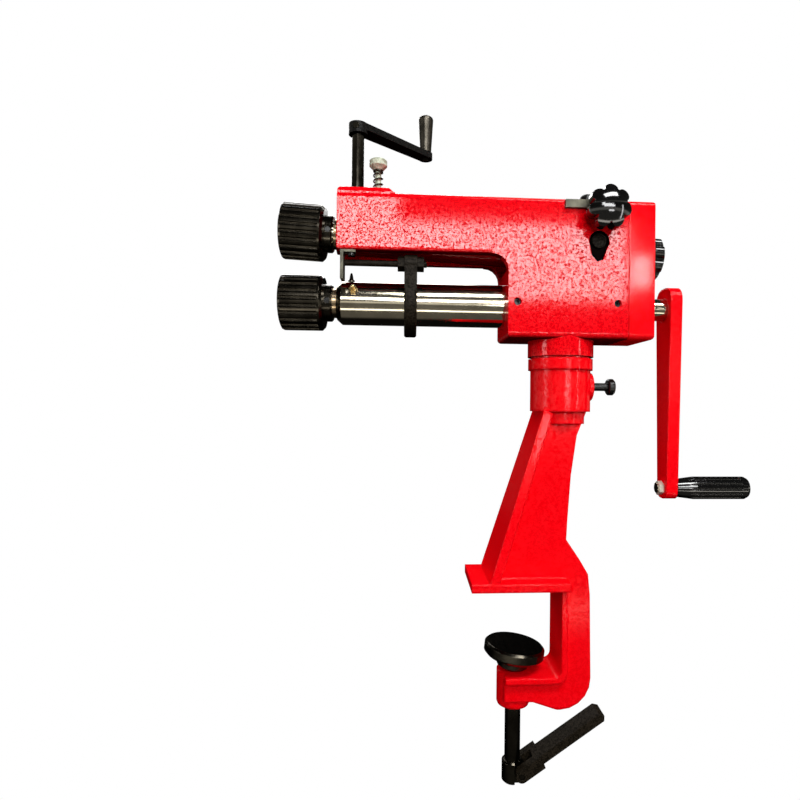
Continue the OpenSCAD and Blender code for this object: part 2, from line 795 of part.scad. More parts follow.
module cover_screws() {
    color(zinc)
    for (y = [-half + 6.5, half - 6.5])
        for (z = [head_bottom + 7.5, cavity_top - 4])
            difference() {
                union() {
                    bar_x(head_x1 - 12, cover_x1 - 5, 2.5, z, y);
                    bar_x(cover_x1 - 5.4, cover_x1 - 0.4, 4.2, z, y);
                }
                translate([cover_x1 - 3.4, y, z]) rotate([0, 90, 0]) cylinder(d = 4.6, h = 4, $fn = 6);
            }
}

// ---------- lower shaft ----------

module lower_shaft() {
    color(steel)
    translate([0, 0, shaft_height])
        difference() {
            bar_x(shaft_tip, crank_x1 - 1, shaft_r);
            keyway(gear_x0 + 1, gear_x1 - 0.5);
        }
}

module lower_roller() {
    color(oxide) translate([roller_front, 0, shaft_height]) roller_body();
}

module lower_roller_screw() {
    color(black) translate([roller_front, 0, shaft_height]) roller_grub();
}

module lower_gear() {
    color(steel)
    translate([0, 0, shaft_height])
        difference() {
            union() {
                translate([gear_x0, 0, 0]) gear_teeth(90);
                bar_x(tube_x1 + rear_flange + seat_gap, gear_x0 + 1, gear_hub_r);
            }
            bar_x(head_x1 - 5, cover_x1, shaft_r + press_gap);
            keyway(gear_x0 - 4, gear_x1 + 1);
        }
}

module lower_gear_key() {
    color(steel)
    box([gear_x0 + 1.2, -key_w / 2, shaft_height + key_floor],
        [gear_x1 - 0.8, key_w / 2, shaft_height + key_floor + key_h]);
}

// ---------- crank ----------

module crank_arm() {
    color(red)
    difference() {
        along_x(rounded([[-crank_hub_w / 2, shaft_height + crank_above, 13],
            [crank_hub_w / 2, shaft_height + crank_above, 13],
            [crank_tip_w / 2, grip_z - crank_tip_w / 2, 8],
            [-crank_tip_w / 2, grip_z - crank_tip_w / 2, 8]]), crank_x0, crank_x1);
        bar_x(crank_x0 - eps, crank_x1 + eps, shaft_r + press_gap, shaft_height);
        bar_x(crank_x0 - eps, crank_x1 + eps, spindle_r + press_gap, grip_z);
        bar_z(shaft_height, shaft_height + crank_above + 1, 3, crank_x0 + crank_t / 2);
    }
}

module crank_grub() {
    color(black)
    bar_z(shaft_height + shaft_r + press_gap, shaft_height + crank_above - 1, 3 - press_gap,
        crank_x0 + crank_t / 2);
}

module grip_spindle() {
    color(steel)
    union() {
        bar_x(crank_x0 - nut_proud - 1, grip_x1 - 4, spindle_r, grip_z);
        bar_x(grip_x1 - 8, grip_x1 - 3.5, spindle_r + 2.5, grip_z);
    }
}

module grip_nut() {
    color(zinc)
    difference() {
        translate([crank_x0 - nut_proud, 0, grip_z]) rotate([0, 90, 0]) cylinder(d = 14.4, h = nut_proud, $fn = 6);
        bar_x(crank_x0 - nut_proud - 1, crank_x0 + 1, spindle_r + press_gap, grip_z);
    }
}

module crank_grip() {
    r0 = grip_d / 2 - 2.5;
    r1 = grip_d / 2;
    grip_neck = 20;
    color(plastic)
    translate([grip_x0, 0, grip_z])
        difference() {
            turned_x([[0, spindle_r + run_gap], [0, r0 - 1], [1, r0], [grip_neck, r1],
                [grip_len - 4, r1], [grip_len - 1.2, r1 - 1.4], [grip_len, r1 - 4],
                [grip_len, spindle_r + 2.8], [grip_len - 8.3, spindle_r + 2.8],
                [grip_len - 8.3, spindle_r + run_gap]]);
            for (i = [0 : 13])
                rotate([i * 360 / 14, 0, 0]) bar_x(6, grip_len - 9, 1.3, 0, r1 + 0.35);
        }
}

// ---------- rocker and upper shaft ----------

module rocker_housing() {
    boss_x0 = adjust_x - 10;
    boss_x1 = lift_x + 10;
    color(red)
    on_rocker()
        difference() {
            union() {
                bar_x(tube_x0, tube_x1, housing_r, upper_z);
                box([boss_x0, -10, upper_z + 8], [lift_x - 9, 10, upper_z + seat_rise]);
                box([lift_x - 9.5, -10, upper_z + 8], [boss_x1, 10, upper_z + lift_boss]);
                bar_y(-cavity_y + wide_gap, cavity_y - wide_gap, pivot_d / 2 + 5, pivot_x, pivot_z);
                box([lock_x - 8, -8, upper_z + 8], [lock_x + 8, 8, cavity_top - 2]);
            }
            bar_x(tube_x0 - eps, tube_x1 + eps, bush_r, upper_z);
            box([boss_x0, -10.5, upper_z + seat_rise], [lift_x - 9.5, 10.5, upper_z + housing_r + 1]);
            bar_y(-half, -shaft_r - 3, pivot_d / 2 + run_gap, pivot_x, pivot_z);
            bar_y(shaft_r + 3, half, pivot_d / 2 + run_gap, pivot_x, pivot_z);
            box([lift_x - 10, -6.2, upper_z + slot_floor], [boss_x1 + 1, 6.2, upper_z + slot_top]);
            box([lift_x - 10, -lift_d / 2 - wide_gap, upper_z + slot_floor],
                [boss_x1 + 1, lift_d / 2 + wide_gap, upper_z + lift_boss + 1]);
        }
}

module upper_front_bush() {
    flange = bush_flange - 1;
    color(bronze)
    on_rocker() translate([tube_x0 - flange, 0, upper_z]) bush(flange, bush_len, bush_r + 0.9);
}

module upper_rear_bush() {
    color(bronze)
    on_rocker()
        translate([tube_x1 + rear_flange, 0, upper_z]) rotate([0, 0, 180]) bush(rear_flange, 24, bush_r + 3);
}

module upper_shaft() {
    color(steel)
    on_rocker()
        translate([0, 0, upper_z])
            difference() {
                union() {
                    bar_x(shaft_tip, gear_x1 + 1, shaft_r);
                    bar_x(gear_x1, tail_end, tail_r);
                }
                keyway(gear_x0 - 2, gear_x1 + 2);
            }
}

module upper_roller() {
    color(oxide) on_rocker() translate([roller_front, 0, upper_z]) roller_body();
}

module upper_roller_screw() {
    color(black) on_rocker() translate([roller_front, 0, upper_z]) roller_grub();
}

module upper_gear() {
    groove_x = knob_front + 1.4;
    color(steel)
    on_rocker()
        translate([0, 0, upper_z])
            difference() {
                union() {
                    translate([gear_x0, 0, 0]) gear_teeth(90 + 180 / teeth);
                    bar_x(tube_x1 + rear_flange + seat_gap, sleeve_end, gear_hub_r);
                }
                bar_x(head_x1 - 5, sleeve_end + eps, shaft_r + run_gap);
                keyway(gear_x0 - 4, gear_x1 + 1);
                difference() {
                    bar_x(groove_x - 0.1, groove_x + 1.3, gear_hub_r + 2);
                    bar_x(groove_x - 1, groove_x + 3, gear_hub_r - 1.1);
                }
            }
}

module upper_gear_key() {
    color(steel)
    on_rocker()
        box([gear_x0 + 1.2, -key_w / 2, upper_z + key_floor],
            [gear_x1 - 0.8, key_w / 2, upper_z + key_floor + key_h]);
}

module rear_knob() {
    groove_x = knob_front + 1.4;
    color(plastic)
    on_rocker()
        translate([0, 0, upper_z])
            difference() {
                translate([knob_front, 0, 0]) rotate([0, 90, 0])
                    star_knob(gear_hub_r + 3.2, knob_hub, rear_knob_t, 0, 46);
                bar_x(knob_front - eps, sleeve_end + seat_gap, gear_hub_r + seat_gap);
                bar_x(groove_x - 0.5, groove_x + 1.8, gear_hub_r + 1.6);
                bar_x(knob_front, tail_end + 1.5, tail_r + run_gap);
            }
}

module knob_ring() {
    groove_x = knob_front + 1.4;
    color(steel)
    on_rocker()
        translate([0, 0, upper_z])
            difference() {
                bar_x(groove_x, groove_x + 1.2, gear_hub_r + 1.2);
                bar_x(groove_x - 1, groove_x + 2, gear_hub_r - 1);
                box([groove_x - 1, -3, 0], [groove_x + 2, 3, gear_hub_r + 3]);
            }
}

// ---------- adjusting screw and lift bolt ----------

module thrust_pad() {
    color(steel)
    intersection() {
        bar_z(thrust_low, thrust_top, foot_pad_r, adjust_x);
        translate([adjust_x, 0, thrust_low + 25]) sphere(r = 25);
    }
}

module adjust_screw() {
    color(oxide) bar_z(thrust_top + 0.05, adjust_top - 1.5, adjust_d / 2, adjust_x);
}

module adjust_arm() {
    tip_r = 7.5;
    n = adjust_arm_len;
    t = adjust_arm_t;
    color(black)
    translate([adjust_x, 0, 0])
        rotate([0, 0, adjust_arm_turn])
            difference() {
                union() {
                    bar_z(adjust_top - adjust_hub_h, adjust_top, adjust_hub_r);
                    translate([0, 0, adjust_top - t])
                        linear_extrude(t)
                            polygon([[0, -adjust_hub_r + 0.5], [n, -tip_r + 0.5],
                                [n, tip_r - 0.5], [0, adjust_hub_r - 0.5]]);
                    bar_z(adjust_top - t, adjust_top, tip_r, n);
                }
                bar_z(adjust_top - adjust_hub_h - 1, adjust_top - 1.4, adjust_d / 2 + press_gap);
                bar_z(adjust_top - t - 1, adjust_top + 1, 3.5 + press_gap, n);
                rotate([0, 0, adjust_pin_turn - adjust_arm_turn])
                    bar_y(-adjust_hub_r - 1, 0, 3 + press_gap, 0, adjust_pin_z);
            }
}

module adjust_arm_pin() {
    color(zinc)
    translate([adjust_x, 0, 0]) rotate([0, 0, adjust_pin_turn])
        bar_y(-adjust_hub_r - 0.3, -adjust_d / 2 - press_gap, 3, 0, adjust_pin_z);
}

module adjust_grip_pin() {
    top = adjust_top + adjust_grip_len;
    color(steel)
    translate([adjust_x, 0, 0])
        rotate([0, 0, adjust_arm_turn])
            union() {
                bar_z(adjust_top - adjust_arm_t + 0.3, top - 1.2, 3.5, adjust_arm_len);
                bar_z(top - 4, top - 1, 5.5, adjust_arm_len);
            }
}

module adjust_grip() {
    r0 = adjust_grip_d / 2 - 2;
    r = adjust_grip_d / 2;
    n = adjust_grip_len;
    color(plastic)
    translate([adjust_x, 0, 0])
        rotate([0, 0, adjust_arm_turn])
            translate([adjust_arm_len, 0, adjust_top + seat_gap])
                rotate_extrude()
                    polygon([[3.5 + run_gap, 0], [r0 - 1, 0], [r0, 1], [r, n - 4], [r - 0.6, n - 2],
                        [r - 2, n - 0.6], [5.8, n - 0.5], [5.8, n - 4.6], [3.5 + run_gap, n - 4.6]]);
}

module lift_bolt() {
    foot_low = lift_mid - lift_foot_h / 2;
    r = lift_head_d / 2;
    color(zinc)
    union() {
        bar_z(foot_low, foot_low + lift_foot_h, 5.5, lift_x);
        bar_z(foot_low + 1, lift_head_z + 1, lift_d / 2, lift_x);
        translate([lift_x, 0, lift_head_z])
            difference() {
                rotate_extrude()
                    polygon([[0, 0], [lift_d / 2 + 2, 0], [r - 1, 3], [r, 4],
                        [r, lift_head_h - 1], [r - 1, lift_head_h], [0, lift_head_h]]);
                translate([0, 0, lift_head_h - 5]) cylinder(d = 6, h = 6, $fn = 6);
            }
    }
}

module lift_spring() {
    turns = 4.5;
    per_turn = 16;
    ring = 8;
    wire_r = spring_wire / 2;
    coil_r = lift_d / 2 + wide_gap + wire_r;
    n = turns * per_turn;
    low = spring_low + wire_r;
    rise = spring_len - spring_wire;
    pts = [for (i = [0 : n])
        let (a = i * 360 / per_turn)
        for (k = [0 : ring - 1])
            let (b = k * 360 / ring, rr = coil_r + wire_r * cos(b))
            [rr * cos(a), rr * sin(a), low + rise * i / n + wire_r * sin(b)]];
    sides = [for (i = [0 : n - 1]) for (k = [0 : ring - 1])
        [i * ring + k, i * ring + (k + 1) % ring, (i + 1) * ring + (k + 1) % ring, (i + 1) * ring + k]];
    ends = [[for (k = [ring - 1 : -1 : 0]) k], [for (k = [0 : ring - 1]) n * ring + k]];
    color(oxide)
    translate([lift_x, 0, 0]) polyhedron(points = pts, faces = concat(sides, ends));
}

// ---------- locks ----------

module front_knob() {
    color(plastic)
    difference() {
        translate([lock_x, -half - bar_t - seat_gap, lock_z]) rotate([90, 0, 0])
            star_knob(10, 5, knob_t, 90, 30);
        bar_y(-half - 16, -half, lock_d / 2 + press_gap, lock_x, lock_z);
    }
}

module front_knob_stud() {
    color(steel) bar_y(-half - 15, -8 - seat_gap, lock_d / 2, lock_x, lock_z);
}

module lock_bar() {
    color(steel)
    difference() {
        union() {
            bar_y(-half - bar_t, -half, 10.5, lock_x, lock_z);
            box([lock_x - bar_left, -half - bar_t, head_top - 10], [lock_x - 3, -half, head_top - 2.4]);
            box([lock_x - 12, -half - bar_t, lock_z], [lock_x - 2, -half, head_top - 3]);
        }
        bar_y(-half - bar_t - 1, -half + 1, lock_d / 2 + run_gap, lock_x, lock_z);
    }
}

module top_plug() {
    color(black)
    union() {
        bar_z(cavity_top + 0.5, head_top + 1, 4, plug_x, plug_y);
        translate([plug_x, plug_y, head_top + 0.1])
            rotate_extrude()
                polygon([[0, 0], [7.5, 0], [7.5, 3], [6.8, 5.2], [5, 7], [2.6, 7.9], [0, 8.2]]);
    }
}

// ---------- depth gauge ----------

module gauge_bracket() {
    color(steel)
    difference() {
        union() {
            box([bracket_x, -half, arm_bottom - bracket_foot_t], [bracket_x + 14, -half + 8.5, arm_bottom]);
            box([bracket_x, -half, shaft_height + tube_r - 3], [bracket_x + bracket_t, -rod_y + 4.5, arm_bottom]);
        }
        bar_x(bracket_x - 1, bracket_x + 5, rod_d / 2 + press_gap, rod_height, -rod_y);
        bar_z(arm_bottom - 5, arm_bottom + 1, 2.2, bracket_x + 10, -half + 4.5);
    }
}

module gauge_bracket_screw() {
    color(black)
    union() {
        bar_z(arm_bottom - bracket_foot_t - 1, arm_bottom + 8, 2, bracket_x + 10, -half + 4.5);
        bar_z(arm_bottom - bracket_foot_t - 3, arm_bottom - bracket_foot_t, 3.5, bracket_x + 10, -half + 4.5);
    }
}

module gauge_rod() {
    color(oxide) bar_x(rod_x0, rod_x1, rod_d / 2, rod_height, -rod_y);
}

module gauge_plate() {
    color(black)
    difference() {
        union() {
            translate([gauge_x0, 0, shaft_height])
                turned_x([[0, 0], [0, gauge_d / 2 - 1.2], [1.6, gauge_d / 2], [gauge_t - 1.6, gauge_d / 2],
                    [gauge_t, gauge_d / 2 - 1.2], [gauge_t, 0]]);
            bar_x(gauge_x0, gauge_x0 + gauge_t, 8.6, rod_height, -rod_y);
            along_x([[-rod_y - 8.2, rod_height - 2], [-rod_y - 8.2, shaft_height + 10],
                [0, shaft_height + 24], [-rod_y + 8.2, rod_height - 2]], gauge_x0, gauge_x0 + gauge_t);
        }
        bar_x(gauge_x0 - 1, gauge_x0 + gauge_t + 1, tube_r + seat_gap, shaft_height);
        bar_x(gauge_x0 - 1, gauge_x0 + gauge_t + 1, rod_d / 2 + run_gap, rod_height, -rod_y);
    }
}

module gauge_nuts() {
    color(oxide)
    for (x = [gauge_x0 - nut_t, gauge_x0 + gauge_t])
        difference() {
            translate([x, -rod_y, rod_height]) rotate([0, 90, 0]) cylinder(d = nut_d, h = nut_t, $fn = 6);
            bar_x(x - 1, x + nut_t + 1, rod_d / 2 + run_gap, rod_height, -rod_y);
        }
}

clamp_stand();
swivel_lock_bolt();
clamp_pad();
clamp_ball();
clamp_screw();
clamp_handle();
clamp_handle_pin();
head_casting();
gear_cover();
cover_screws();
lower_tube();
tube_set_screws();
front_grease_nipple();
top_grease_nipple();
lower_front_bush();
lower_rear_bush();
pivot_pins();
lower_shaft();
lower_roller();
lower_roller_screw();
lower_gear();
lower_gear_key();
crank_arm();
crank_grub();
grip_spindle();
grip_nut();
crank_grip();
rocker_housing();
upper_front_bush();
upper_rear_bush();
upper_shaft();
upper_roller();
upper_roller_screw();
upper_gear();
upper_gear_key();
rear_knob();
knob_ring();
thrust_pad();
adjust_screw();
adjust_arm();
adjust_arm_pin();
adjust_grip_pin();
adjust_grip();
lift_bolt();
lift_spring();
front_knob();
front_knob_stud();
lock_bar();
top_plug();
gauge_bracket();
gauge_bracket_screw();
gauge_rod();
gauge_plate();
gauge_nuts();
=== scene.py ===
import json
import math
import bmesh
import bpy
from mathutils import Matrix, Vector


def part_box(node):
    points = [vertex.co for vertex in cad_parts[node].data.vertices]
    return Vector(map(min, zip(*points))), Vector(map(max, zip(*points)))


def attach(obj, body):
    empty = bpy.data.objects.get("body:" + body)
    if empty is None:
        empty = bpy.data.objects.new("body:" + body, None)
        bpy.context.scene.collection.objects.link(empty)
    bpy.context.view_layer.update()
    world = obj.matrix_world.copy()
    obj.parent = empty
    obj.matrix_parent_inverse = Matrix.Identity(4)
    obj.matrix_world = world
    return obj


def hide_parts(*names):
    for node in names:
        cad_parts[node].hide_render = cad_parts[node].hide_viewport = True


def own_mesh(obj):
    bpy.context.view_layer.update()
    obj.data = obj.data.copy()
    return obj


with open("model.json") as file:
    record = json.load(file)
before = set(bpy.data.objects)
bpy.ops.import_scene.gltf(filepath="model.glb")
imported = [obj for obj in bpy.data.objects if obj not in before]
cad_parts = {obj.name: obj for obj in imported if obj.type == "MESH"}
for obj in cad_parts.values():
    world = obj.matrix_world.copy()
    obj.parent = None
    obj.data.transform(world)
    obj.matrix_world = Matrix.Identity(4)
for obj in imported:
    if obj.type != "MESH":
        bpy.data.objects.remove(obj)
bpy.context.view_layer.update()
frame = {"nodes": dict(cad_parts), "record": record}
nodes = frame["nodes"]
scene = bpy.context.scene
print("stage: frame loaded")

# camera

cameraValues = {
    "place": (-0.10625, -0.56932, 0.17736),
    "focalPixels": 573.68,
    "centrePixels": (448.38, 403.42),
    "turns": (-0.001, -0.068, 0.010),
    "sensor": 36.0,
    "picture": 800,
    "clip": (0.01, 30),
}


# turns the camera away from looking along +Y
def cameraTurn(rx, ry, rz):
    base = Matrix(((1, 0, 0), (0, 0, -1), (0, 1, 0)))
    turn = Matrix.Rotation(rz, 3, "Z") @ Matrix.Rotation(ry, 3, "Y") @ Matrix.Rotation(rx, 3, "X")
    flip = Matrix(((1, 0, 0), (0, -1, 0), (0, 0, -1)))
    return (flip @ (turn @ base)).transposed()


def makeCamera(v):
    data = bpy.data.cameras.new("camera")
    across, down = v["centrePixels"]
    middle = v["picture"] / 2
    data.sensor_width = v["sensor"]
    data.lens = v["focalPixels"] / v["picture"] * v["sensor"]
    data.shift_x = (middle - across) / v["picture"]
    data.shift_y = (down - middle) / v["picture"]
    data.clip_start, data.clip_end = v["clip"]
    obj = bpy.data.objects.new("camera", data)
    obj.matrix_world = Matrix.Translation(Vector(v["place"])) @ cameraTurn(*v["turns"]).to_4x4()
    scene.collection.objects.link(obj)
    scene.camera = obj


makeCamera(cameraValues)
scene.view_settings.view_transform = "Standard"

# lights

lightValues = {
    "softbox": {"place": (0.205, -1.35, 0.645), "aim": (0.205, 0, 0.645), "size": (0.8, 0.245), "power": 8.4},
    "coverBox": {"place": (0.655, -1.35, 0.622), "aim": (0.655, 0, 0.622), "size": (0.06, 0.1),
                 "power": 0.45},
    "noseBox": {"place": (-0.26, -1.35, 0.775), "aim": (-0.26, 0, 0.775), "size": (0.22, 0.24), "power": 2.3},
    "neckBox": {"place": (0.40, -1.35, 0.225), "aim": (0.40, 0, 0.225), "size": (0.45, 0.12), "power": 1.9},
    "highBox": {"place": (0.45, -1.1, 1.72), "aim": (0.0, 0, 0.2), "size": (1.3, 0.4), "power": 31.0},
    "rimBox": {"place": (-0.05, 0.95, 1.65), "aim": (0.0, 0, 0.3), "size": (1.3, 0.2), "power": 6.0},
    "leftBox": {"place": (-1.5, -0.55, 0.25), "aim": (0.0, 0, 0.15), "size": (0.5, 0.9), "power": 5.0},
    "backBox": {"place": (-0.4, 1.6, 1.3), "aim": (0.0, 0, 0.2), "size": (1.2, 0.8), "power": 16.0},
    "sideStrip": {"place": (1.1, -0.75, 0.25), "aim": (0.05, 0, 0.2), "size": (0.10, 0.9), "power": 2.0},
}


def areaLight(name, v):
    data = bpy.data.lights.new(name, "AREA")
    data.shape = "RECTANGLE"
    data.size, data.size_y = v["size"]
    data.energy = v["power"]
    obj = bpy.data.objects.new(name, data)
    obj.location = v["place"]
    obj.rotation_euler = (Vector(v["aim"]) - Vector(v["place"])).to_track_quat("-Z", "Y").to_euler()
    scene.collection.objects.link(obj)


def addNode(tree, kind, **values):
    node = tree.nodes.new(kind)
    for key, value in values.items():
        setattr(node, key, value)
    return node


# stops are (place, brightness) or (place, colour)
def makeRamp(tree, stops):
    ramp = addNode(tree, "ShaderNodeValToRGB")
    elements = ramp.color_ramp.elements
    while len(elements) < len(stops):
        elements.new(0.5)
    for element, (place, colour) in zip(elements, stops):
        element.position = place
        element.color = (*colour, 1) if isinstance(colour, tuple) else (colour, colour, colour, 1)
    return ramp


def tinted(bands, tint):
    return [(place, tuple(brightness * part for part in tint)) for place, brightness in bands]


# the room around the object
roomValues = {
    # brightness from below (0) over level (0.5) to overhead (1)
    "fillBands": [(0.00, 0.01), (0.45, 0.03), (0.55, 0.12), (1.00, 0.16)],
    # what polished surfaces see of it
    "glossBands": [
        (0.00, 0.06), (0.20, 0.10), (0.265, 0.22), (0.28, 0.85), (0.295, 0.22), (0.38, 0.12), (0.455, 0.16),
        (0.47, 0.85), (0.53, 0.95), (0.545, 0.05), (0.66, 0.02), (0.70, 0.06), (0.71, 0.60), (0.72, 0.60),
        (0.73, 0.05), (0.85, 0.01), (1.00, 0.03),
    ],
    "tint": (1.0, 0.96, 0.86),
    "darkFrom": 0.5,
    "darkTo": 0.8,
    "darkPart": 0.06,
}


def makeWorld(v):
    world = bpy.data.worlds.new("world")
    scene.world = world
    world.use_nodes = True
    tree = world.node_tree
    tree.nodes.clear()
    link = tree.links.new
    path = addNode(tree, "ShaderNodeLightPath")
    coord = addNode(tree, "ShaderNodeTexCoord")
    split = addNode(tree, "ShaderNodeSeparateXYZ")
    link(coord.outputs["Generated"], split.inputs[0])
    level = addNode(tree, "ShaderNodeMapRange")
    level.inputs["From Min"].default_value = -1
    link(split.outputs["Z"], level.inputs["Value"])
    bands = makeRamp(tree, tinted(v["glossBands"], v["tint"]))
    room = makeRamp(tree, v["fillBands"])
    link(level.outputs["Result"], bands.inputs["Fac"])
    link(level.outputs["Result"], room.inputs["Fac"])
    fill = addNode(tree, "ShaderNodeBackground")
    link(room.outputs["Color"], fill.inputs["Color"])
    # the room is dark behind the object
    behind = addNode(tree, "ShaderNodeMapRange", interpolation_type="SMOOTHSTEP")
    behind.inputs["From Min"].default_value = v["darkFrom"]
    behind.inputs["From Max"].default_value = v["darkTo"]
    behind.inputs["To Min"].default_value = 1.0
    behind.inputs["To Max"].default_value = v["darkPart"]
    link(split.outputs["Y"], behind.inputs["Value"])
    gloss = addNode(tree, "ShaderNodeBackground")
    link(bands.outputs["Color"], gloss.inputs["Color"])
    link(behind.outputs["Result"], gloss.inputs["Strength"])
    plain = addNode(tree, "ShaderNodeBackground")
    plain.inputs["Color"].default_value = (1, 1, 1, 1)
    mixGloss = addNode(tree, "ShaderNodeMixShader")
    link(path.outputs["Is Glossy Ray"], mixGloss.inputs["Fac"])
    link(fill.outputs[0], mixGloss.inputs[1])
    link(gloss.outputs[0], mixGloss.inputs[2])
    mixSeen = addNode(tree, "ShaderNodeMixShader")
    link(path.outputs["Is Camera Ray"], mixSeen.inputs["Fac"])
    link(mixGloss.outputs[0], mixSeen.inputs[1])
    link(plain.outputs[0], mixSeen.inputs[2])
    out = addNode(tree, "ShaderNodeOutputWorld")
    link(mixSeen.outputs[0], out.inputs["Surface"])


floorValues = {
    "drop": -0.26,
    "half": 6,
    "colour": (0.04, 0.04, 0.04),
    "rough": 0.9,
    "shine": 5.0,
    # how far the bands run in front of the origin and behind it, in metres
    "reach": 3.0,
    "behind": 0.03,
    # what polished surfaces see of it, from far in front (0) to under the object (1)
    "bands": [
        (0.00, 0.03), (0.70, 0.035), (0.735, 0.05), (0.748, 0.9), (0.788, 0.9), (0.797, 0.004),
        (0.815, 0.004), (0.83, 0.028), (0.96, 0.022), (1.00, 0.001),
    ],
    "tint": (1.0, 0.95, 0.84),
}


# a floor that looks white, is dark to light and shows bands of its own in polished surfaces
def makeFloor(v):
    half = v["half"]
    corners = [(-half, -half, 0), (half, -half, 0), (half, half, 0), (-half, half, 0)]
    mesh = bpy.data.meshes.new("floor")
    mesh.from_pydata(corners, [], [(0, 1, 2, 3)])
    floor = bpy.data.objects.new("floor", mesh)
    floor.location.z = v["drop"]
    scene.collection.objects.link(floor)
    mat = bpy.data.materials.new("floorPaint")
    mat.use_nodes = True
    tree = mat.node_tree
    link = tree.links.new
    bsdf = tree.nodes["Principled BSDF"]
    bsdf.inputs["Base Color"].default_value = (*v["colour"], 1)
    bsdf.inputs["Roughness"].default_value = v["rough"]
    path = addNode(tree, "ShaderNodeLightPath")
    glow = addNode(tree, "ShaderNodeEmission")
    mix = addNode(tree, "ShaderNodeMixShader")
    link(path.outputs["Is Camera Ray"], mix.inputs["Fac"])
    place = addNode(tree, "ShaderNodeTexCoord")
    split = addNode(tree, "ShaderNodeSeparateXYZ")
    link(place.outputs["Object"], split.inputs[0])
    near = addNode(tree, "ShaderNodeMapRange")
    near.inputs["From Min"].default_value = -v["reach"]
    near.inputs["From Max"].default_value = v["behind"]
    link(split.outputs["Y"], near.inputs["Value"])
    bands = makeRamp(tree, tinted(v["bands"], v["tint"]))
    link(near.outputs["Result"], bands.inputs["Fac"])
    strip = addNode(tree, "ShaderNodeEmission")
    strip.inputs["Strength"].default_value = v["shine"]
    link(bands.outputs["Color"], strip.inputs["Color"])
    mixGlossy = addNode(tree, "ShaderNodeMixShader")
    link(path.outputs["Is Glossy Ray"], mixGlossy.inputs["Fac"])
    link(bsdf.outputs[0], mixGlossy.inputs[1])
    link(strip.outputs[0], mixGlossy.inputs[2])
    link(mixGlossy.outputs[0], mix.inputs[1])
    link(glow.outputs[0], mix.inputs[2])
    link(mix.outputs[0], tree.nodes["Material Output"].inputs["Surface"])
    mesh.materials.append(mat)


makeWorld(roomValues)
for lightName, light in lightValues.items():
    areaLight(lightName, light)
makeFloor(floorValues)
print("stage: camera, lights and floor")

# effects that several materials use


def newGroup(name, inputs, outputs):
    tree = bpy.data.node_groups.new(name, "ShaderNodeTree")
    for label, kind, value in inputs:
        socket = tree.interface.new_socket(label, in_out="INPUT", socket_type=kind)
        socket.default_value = value
    for label, kind in outputs:
        tree.interface.new_socket(label, in_out="OUTPUT", socket_type=kind)
    return tree, addNode(tree, "NodeGroupInput"), addNode(tree, "NodeGroupOutput")


def mathNode(tree, operation, a, b):
    node = addNode(tree, "ShaderNodeMath", operation=operation)
    for slot, value in enumerate((a, b)):
        if isinstance(value, (int, float)):
            node.inputs[slot].default_value = value
        else:
            tree.links.new(value, node.inputs[slot])
    return node.outputs[0]


hammerValues = {
    "scale": 420.0,
    "fine": 0.5,
    "uneven": 0.3,
    "detail": 2.0,
    "distortion": 1.1,
    "fineRatio": 2.6,
    "broadScale": 26.0,
    "flats": (0.44, 0.54),
}


# glossy paint with small squiggly pits, over a slightly uneven casting
def hammerGroup(v):
    tree, gin, gout = newGroup(
        "hammerPaint",
        [("Scale", "NodeSocketFloat", v["scale"]), ("Fine", "NodeSocketFloat", v["fine"]),
         ("Uneven", "NodeSocketFloat", v["uneven"])],
        [("Height", "NodeSocketFloat"), ("Shade", "NodeSocketFloat")])
    link = tree.links.new
    coord = addNode(tree, "ShaderNodeTexCoord")
    ridges = addNode(tree, "ShaderNodeTexNoise")
    ridges.inputs["Detail"].default_value = v["detail"]
    ridges.inputs["Distortion"].default_value = v["distortion"]
    link(coord.outputs["Object"], ridges.inputs["Vector"])
    link(gin.outputs["Scale"], ridges.inputs["Scale"])
    fine = addNode(tree, "ShaderNodeTexNoise")
    link(coord.outputs["Object"], fine.inputs["Vector"])
    link(mathNode(tree, "MULTIPLY", gin.outputs["Scale"], v["fineRatio"]), fine.inputs["Scale"])
    broad = addNode(tree, "ShaderNodeTexNoise")
    broad.inputs["Scale"].default_value = v["broadScale"]
    link(coord.outputs["Object"], broad.inputs["Vector"])
    flats = addNode(tree, "ShaderNodeMapRange", interpolation_type="SMOOTHSTEP")
    flats.inputs["From Min"].default_value = v["flats"][0]
    flats.inputs["From Max"].default_value = v["flats"][1]
    link(ridges.outputs["Fac"], flats.inputs["Value"])
    grain = mathNode(tree, "MULTIPLY", fine.outputs["Fac"], gin.outputs["Fine"])
    waves = mathNode(tree, "MULTIPLY", broad.outputs["Fac"], gin.outputs["Uneven"])
    height = mathNode(tree, "ADD", mathNode(tree, "ADD", flats.outputs["Result"], grain), waves)
    link(height, gout.inputs["Height"])
    link(flats.outputs["Result"], gout.inputs["Shade"])
    return tree


machinedValues = {"stretch": (900.0, 30.0, 30.0), "spots": 60.0, "lineDetail": 3.0, "cloudDetail": 4.0}


